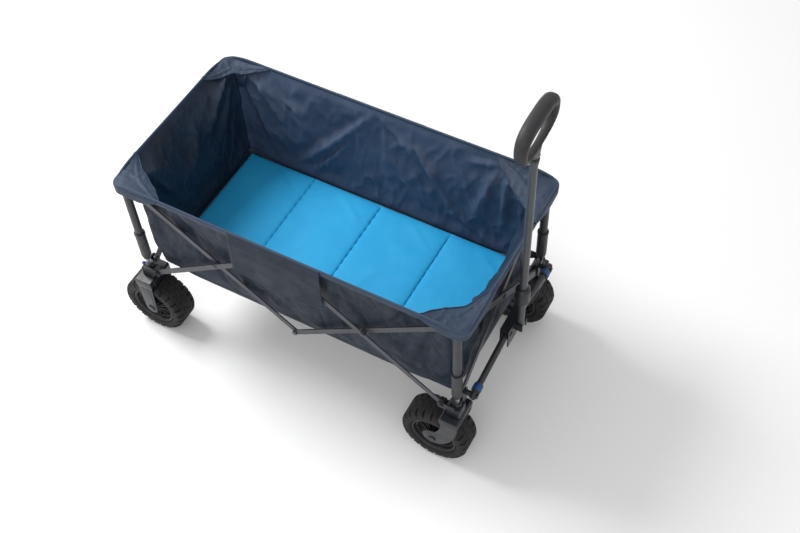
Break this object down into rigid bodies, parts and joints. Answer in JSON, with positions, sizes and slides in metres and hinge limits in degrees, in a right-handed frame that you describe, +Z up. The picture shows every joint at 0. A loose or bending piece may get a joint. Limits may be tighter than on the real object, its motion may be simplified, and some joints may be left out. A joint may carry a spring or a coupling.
{
  "type": "folding beach wagon",
  "caption": "Folding four-wheel wagon with a scissor frame, corner posts, swivelling front wheels, telescoping pull handle, fabric basket and padded mat.",
  "frame": {"origin": "on the floor, under the middle of the whole bounding box with the wagon open and the handle upright and pushed in", "axes": "+X along the wagon towards the handle, +Y across it, +Z up"},
  "size_m": [1.0634, 0.552, 1.044],
  "materials": {
    "frame_steel": "satin grey powder coat",
    "dark_steel": "satin dark grey powder coat",
    "bright_steel": "plated steel",
    "black_plastic": "moulded black plastic",
    "wheel_plastic": "moulded dark grey plastic",
    "tyre": "matt rubber with a shallow tread",
    "basket_fabric": "navy woven polyester",
    "mat_fabric": "bright blue woven polyester over stiff panels"
  },
  "bodies": {
    "corner_rn": {"bracket_rn": "black_plastic", "inner_post_rn": "bright_steel", "fork_rn": "frame_steel", "axle_rn": "bright_steel"},
    "corner_rf": {"bracket_rf": "black_plastic", "inner_post_rf": "bright_steel", "fork_rf": "frame_steel", "axle_rf": "bright_steel"},
    "corner_fn": {"bracket_fn": "black_plastic", "inner_post_fn": "bright_steel"},
    "corner_ff": {"bracket_ff": "black_plastic", "inner_post_ff": "bright_steel"},
    "upper_rn": {"upper_tube_rn": "frame_steel", "sleeve_rn": "black_plastic", "basket": "basket_fabric"},
    "upper_rf": {"upper_tube_rf": "frame_steel", "sleeve_rf": "black_plastic"},
    "upper_fn": {"upper_tube_fn": "frame_steel", "sleeve_fn": "black_plastic"},
    "upper_ff": {"upper_tube_ff": "frame_steel", "sleeve_ff": "black_plastic"},
    "side_a_near": {"side_bar_a_near": "frame_steel"},
    "side_b_near": {"side_bar_b_near": "frame_steel"},
    "side_c_near": {"side_bar_c_near": "frame_steel"},
    "side_d_near": {"side_bar_d_near": "frame_steel"},
    "side_a_far": {"side_bar_a_far": "frame_steel"},
    "side_b_far": {"side_bar_b_far": "frame_steel"},
    "side_c_far": {"side_bar_c_far": "frame_steel"},
    "side_d_far": {"side_bar_d_far": "frame_steel"},
    "end_p_rear": {"end_bar_p_rear": "dark_steel"},
    "end_q_rear": {"end_bar_q_rear": "dark_steel"},
    "end_p_front": {"end_bar_p_front": "dark_steel"},
    "end_q_front": {"end_bar_q_front": "dark_steel"},
    "cross_near": {"cross_tube_near": "dark_steel"},
    "cross_far": {"cross_tube_far": "dark_steel"},
    "hub": {"handle_hub": "black_plastic"},
    "caster_fn": {"fork_fn": "frame_steel", "axle_fn": "bright_steel"},
    "caster_ff": {"fork_ff": "frame_steel", "axle_ff": "bright_steel"},
    "wheel_rn": {"rim_rn": "wheel_plastic", "tyre_rn": "tyre"},
    "wheel_rf": {"rim_rf": "wheel_plastic", "tyre_rf": "tyre"},
    "wheel_fn": {"rim_fn": "wheel_plastic", "tyre_fn": "tyre"},
    "wheel_ff": {"rim_ff": "wheel_plastic", "tyre_ff": "tyre"},
    "handle": {"handle_stem": "frame_steel", "handle_lock_housing": "black_plastic", "handle_outer_tube": "frame_steel"},
    "handle_slider": {"handle_inner_tube": "bright_steel", "handle_grip": "black_plastic"},
    "handle_button_body": {"handle_button": "bright_steel"},
    "mat_1": {"mat_panel_1": "mat_fabric"},
    "mat_2": {"mat_panel_2": "mat_fabric"},
    "mat_3": {"mat_panel_3": "mat_fabric"},
    "mat_4": {"mat_panel_4": "mat_fabric"}
  },
  "joints": [
    {"name": "fold", "type": "hinge", "parent": "corner_rn", "child": "side_b_near", "pos_m": [-0.4065, -0.245, 0.242], "axis": [0, -1, 0], "range_deg": [0, 43], "deforming": ["basket", "mat_panel_1", "mat_panel_2", "mat_panel_3", "mat_panel_4"]},
    {"name": "side_a_near_pivot", "type": "hinge", "parent": "side_b_near", "child": "side_a_near", "pos_m": [-0.19725, -0.245, 0.394], "axis": [0, -1, 0], "range_deg": [-86.05, 0]},
    {"name": "side_c_near_pivot", "type": "hinge", "parent": "side_b_near", "child": "side_c_near", "pos_m": [0.012, -0.245, 0.546], "axis": [0, -1, 0], "range_deg": [-86.05, 0]},
    {"name": "side_d_near_pivot", "type": "hinge", "parent": "side_c_near", "child": "side_d_near", "pos_m": [0.22125, -0.245, 0.394], "axis": [0, -1, 0], "range_deg": [0, 86.05]},
    {"name": "corner_fn_pivot", "type": "hinge", "parent": "side_c_near", "child": "corner_fn", "pos_m": [0.4305, -0.245, 0.242], "axis": [0, -1, 0], "range_deg": [0, 43.05]},
    {"name": "upper_rn_pivot", "type": "hinge", "parent": "side_a_near", "child": "upper_rn", "pos_m": [-0.4065, -0.245, 0.546], "axis": [0, -1, 0], "range_deg": [0, 43.05]},
    {"name": "upper_fn_pivot", "type": "hinge", "parent": "side_d_near", "child": "upper_fn", "pos_m": [0.4305, -0.245, 0.546], "axis": [0, -1, 0], "range_deg": [-43.05, 0]},
    {"name": "end_p_rear_pivot", "type": "hinge", "parent": "corner_rn", "child": "end_p_rear", "pos_m": [-0.438, -0.20925, 0.242], "axis": [1, 0, 0], "range_deg": [0, 43.05]},
    {"name": "end_q_rear_pivot", "type": "hinge", "parent": "end_p_rear", "child": "end_q_rear", "pos_m": [-0.438, 0, 0.394], "axis": [1, 0, 0], "range_deg": [-86.05, 0]},
    {"name": "corner_rf_pivot", "type": "hinge", "parent": "end_q_rear", "child": "corner_rf", "pos_m": [-0.438, 0.20925, 0.242], "axis": [1, 0, 0], "range_deg": [0, 43.05]},
    {"name": "upper_rf_pivot", "type": "hinge", "parent": "end_p_rear", "child": "upper_rf", "pos_m": [-0.438, 0.20925, 0.546], "axis": [1, 0, 0], "range_deg": [-43.05, 0]},
    {"name": "side_b_far_pivot", "type": "hinge", "parent": "corner_rf", "child": "side_b_far", "pos_m": [-0.4065, 0.245, 0.242], "axis": [0, -1, 0], "range_deg": [0, 43.05]},
    {"name": "side_a_far_pivot", "type": "hinge", "parent": "side_b_far", "child": "side_a_far", "pos_m": [-0.19725, 0.245, 0.394], "axis": [0, -1, 0], "range_deg": [-86.05, 0]},
    {"name": "side_c_far_pivot", "type": "hinge", "parent": "side_b_far", "child": "side_c_far", "pos_m": [0.012, 0.245, 0.546], "axis": [0, -1, 0], "range_deg": [-86.05, 0]},
    {"name": "side_d_far_pivot", "type": "hinge", "parent": "side_c_far", "child": "side_d_far", "pos_m": [0.22125, 0.245, 0.394], "axis": [0, -1, 0], "range_deg": [0, 86.05]},
    {"name": "corner_ff_pivot", "type": "hinge", "parent": "side_c_far", "child": "corner_ff", "pos_m": [0.4305, 0.245, 0.242], "axis": [0, -1, 0], "range_deg": [0, 43.05]},
    {"name": "upper_ff_pivot", "type": "hinge", "parent": "side_d_far", "child": "upper_ff", "pos_m": [0.4305, 0.245, 0.546], "axis": [0, -1, 0], "range_deg": [-43.05, 0]},
    {"name": "end_p_front_pivot", "type": "hinge", "parent": "corner_fn", "child": "end_p_front", "pos_m": [0.462, -0.20925, 0.242], "axis": [1, 0, 0], "range_deg": [0, 43.05]},
    {"name": "end_q_front_pivot", "type": "hinge", "parent": "end_p_front", "child": "end_q_front", "pos_m": [0.462, 0, 0.394], "axis": [1, 0, 0], "range_deg": [-86.05, 0]},
    {"name": "cross_near_pivot", "type": "hinge", "parent": "corner_fn", "child": "cross_near", "pos_m": [0.4935, -0.20925, 0.27], "axis": [1, 0, 0], "range_deg": [0, 74.95]},
    {"name": "hub_pivot", "type": "hinge", "parent": "cross_near", "child": "hub", "pos_m": [0.4935, -0.03, 0.2983], "axis": [1, 0, 0], "range_deg": [-74.95, 0]},
    {"name": "cross_far_pivot", "type": "hinge", "parent": "corner_ff", "child": "cross_far", "pos_m": [0.4935, 0.20925, 0.27], "axis": [1, 0, 0], "range_deg": [-74.95, 0]},
    {"name": "caster_fn_swivel", "type": "hinge", "parent": "corner_fn", "child": "caster_fn", "pos_m": [0.462, -0.234, 0.21], "axis": [0, 0, 1], "continuous": true},
    {"name": "caster_ff_swivel", "type": "hinge", "parent": "corner_ff", "child": "caster_ff", "pos_m": [0.462, 0.234, 0.21], "axis": [0, 0, 1], "continuous": true},
    {"name": "wheel_rn_spin", "type": "hinge", "parent": "corner_rn", "child": "wheel_rn", "pos_m": [-0.4417, -0.2315, 0.09], "axis": [0, 1, 0], "continuous": true},
    {"name": "wheel_rf_spin", "type": "hinge", "parent": "corner_rf", "child": "wheel_rf", "pos_m": [-0.4417, 0.2315, 0.09], "axis": [0, 1, 0], "continuous": true},
    {"name": "wheel_fn_spin", "type": "hinge", "parent": "caster_fn", "child": "wheel_fn", "pos_m": [0.412, -0.2315, 0.09], "axis": [0, 1, 0], "continuous": true},
    {"name": "wheel_ff_spin", "type": "hinge", "parent": "caster_ff", "child": "wheel_ff", "pos_m": [0.412, 0.2315, 0.09], "axis": [0, 1, 0], "continuous": true},
    {"name": "handle_pitch", "type": "hinge", "parent": "hub", "child": "handle", "pos_m": [0.514, 0, 0.309], "axis": [0, 1, 0], "range_deg": [0, 100]},
    {"name": "handle_telescope", "type": "slide", "parent": "handle", "child": "handle_slider", "axis": [0, 0, 1], "range_m": [0, 0.3]},
    {"name": "handle_button_press", "type": "slide", "parent": "handle_slider", "child": "handle_button_body", "axis": [-1, 0, 0], "range_m": [0, 0.003], "stiffness_N_per_m": 400},
    {"name": "mat_lift", "type": "slide", "parent": "upper_rn", "child": "mat_1", "axis": [0, 0, 1], "range_m": [0, 0.45]},
    {"name": "mat_fold_1", "type": "hinge", "parent": "mat_1", "child": "mat_2", "pos_m": [-0.196, 0, 0.2633], "axis": [0, -1, 0], "range_deg": [0, 180.05]},
    {"name": "mat_fold_2", "type": "hinge", "parent": "mat_2", "child": "mat_3", "pos_m": [0.012, 0, 0.2518], "axis": [0, -1, 0], "range_deg": [-180.05, 0]},
    {"name": "mat_fold_3", "type": "hinge", "parent": "mat_3", "child": "mat_4", "pos_m": [0.22, 0, 0.2633], "axis": [0, -1, 0], "range_deg": [0, 180.05]}
  ],
  "couplings": [
    {"joint": "side_a_near_pivot", "follows": "fold", "ratio": -2},
    {"joint": "side_c_near_pivot", "follows": "fold", "ratio": -2},
    {"joint": "side_d_near_pivot", "follows": "fold", "ratio": 2},
    {"joint": "corner_fn_pivot", "follows": "fold", "ratio": 1},
    {"joint": "upper_rn_pivot", "follows": "fold", "ratio": 1},
    {"joint": "upper_fn_pivot", "follows": "fold", "ratio": -1},
    {"joint": "end_p_rear_pivot", "follows": "fold", "ratio": 1},
    {"joint": "end_q_rear_pivot", "follows": "fold", "ratio": -2},
    {"joint": "corner_rf_pivot", "follows": "fold", "ratio": 1},
    {"joint": "upper_rf_pivot", "follows": "fold", "ratio": -1},
    {"joint": "side_b_far_pivot", "follows": "fold", "ratio": 1},
    {"joint": "side_a_far_pivot", "follows": "fold", "ratio": -2},
    {"joint": "side_c_far_pivot", "follows": "fold", "ratio": -2},
    {"joint": "side_d_far_pivot", "follows": "fold", "ratio": 2},
    {"joint": "corner_ff_pivot", "follows": "fold", "ratio": 1},
    {"joint": "upper_ff_pivot", "follows": "fold", "ratio": -1},
    {"joint": "end_p_front_pivot", "follows": "fold", "ratio": 1},
    {"joint": "end_q_front_pivot", "follows": "fold", "ratio": -2},
    {"joint": "cross_near_pivot", "follows": "fold", "ratio": 1.7419},
    {"joint": "hub_pivot", "follows": "fold", "ratio": -1.7419},
    {"joint": "cross_far_pivot", "follows": "fold", "ratio": -1.7419},
    {"joint": "mat_fold_1", "follows": "fold", "ratio": 4.186},
    {"joint": "mat_fold_2", "follows": "fold", "ratio": -4.186},
    {"joint": "mat_fold_3", "follows": "fold", "ratio": 4.186}
  ]
}
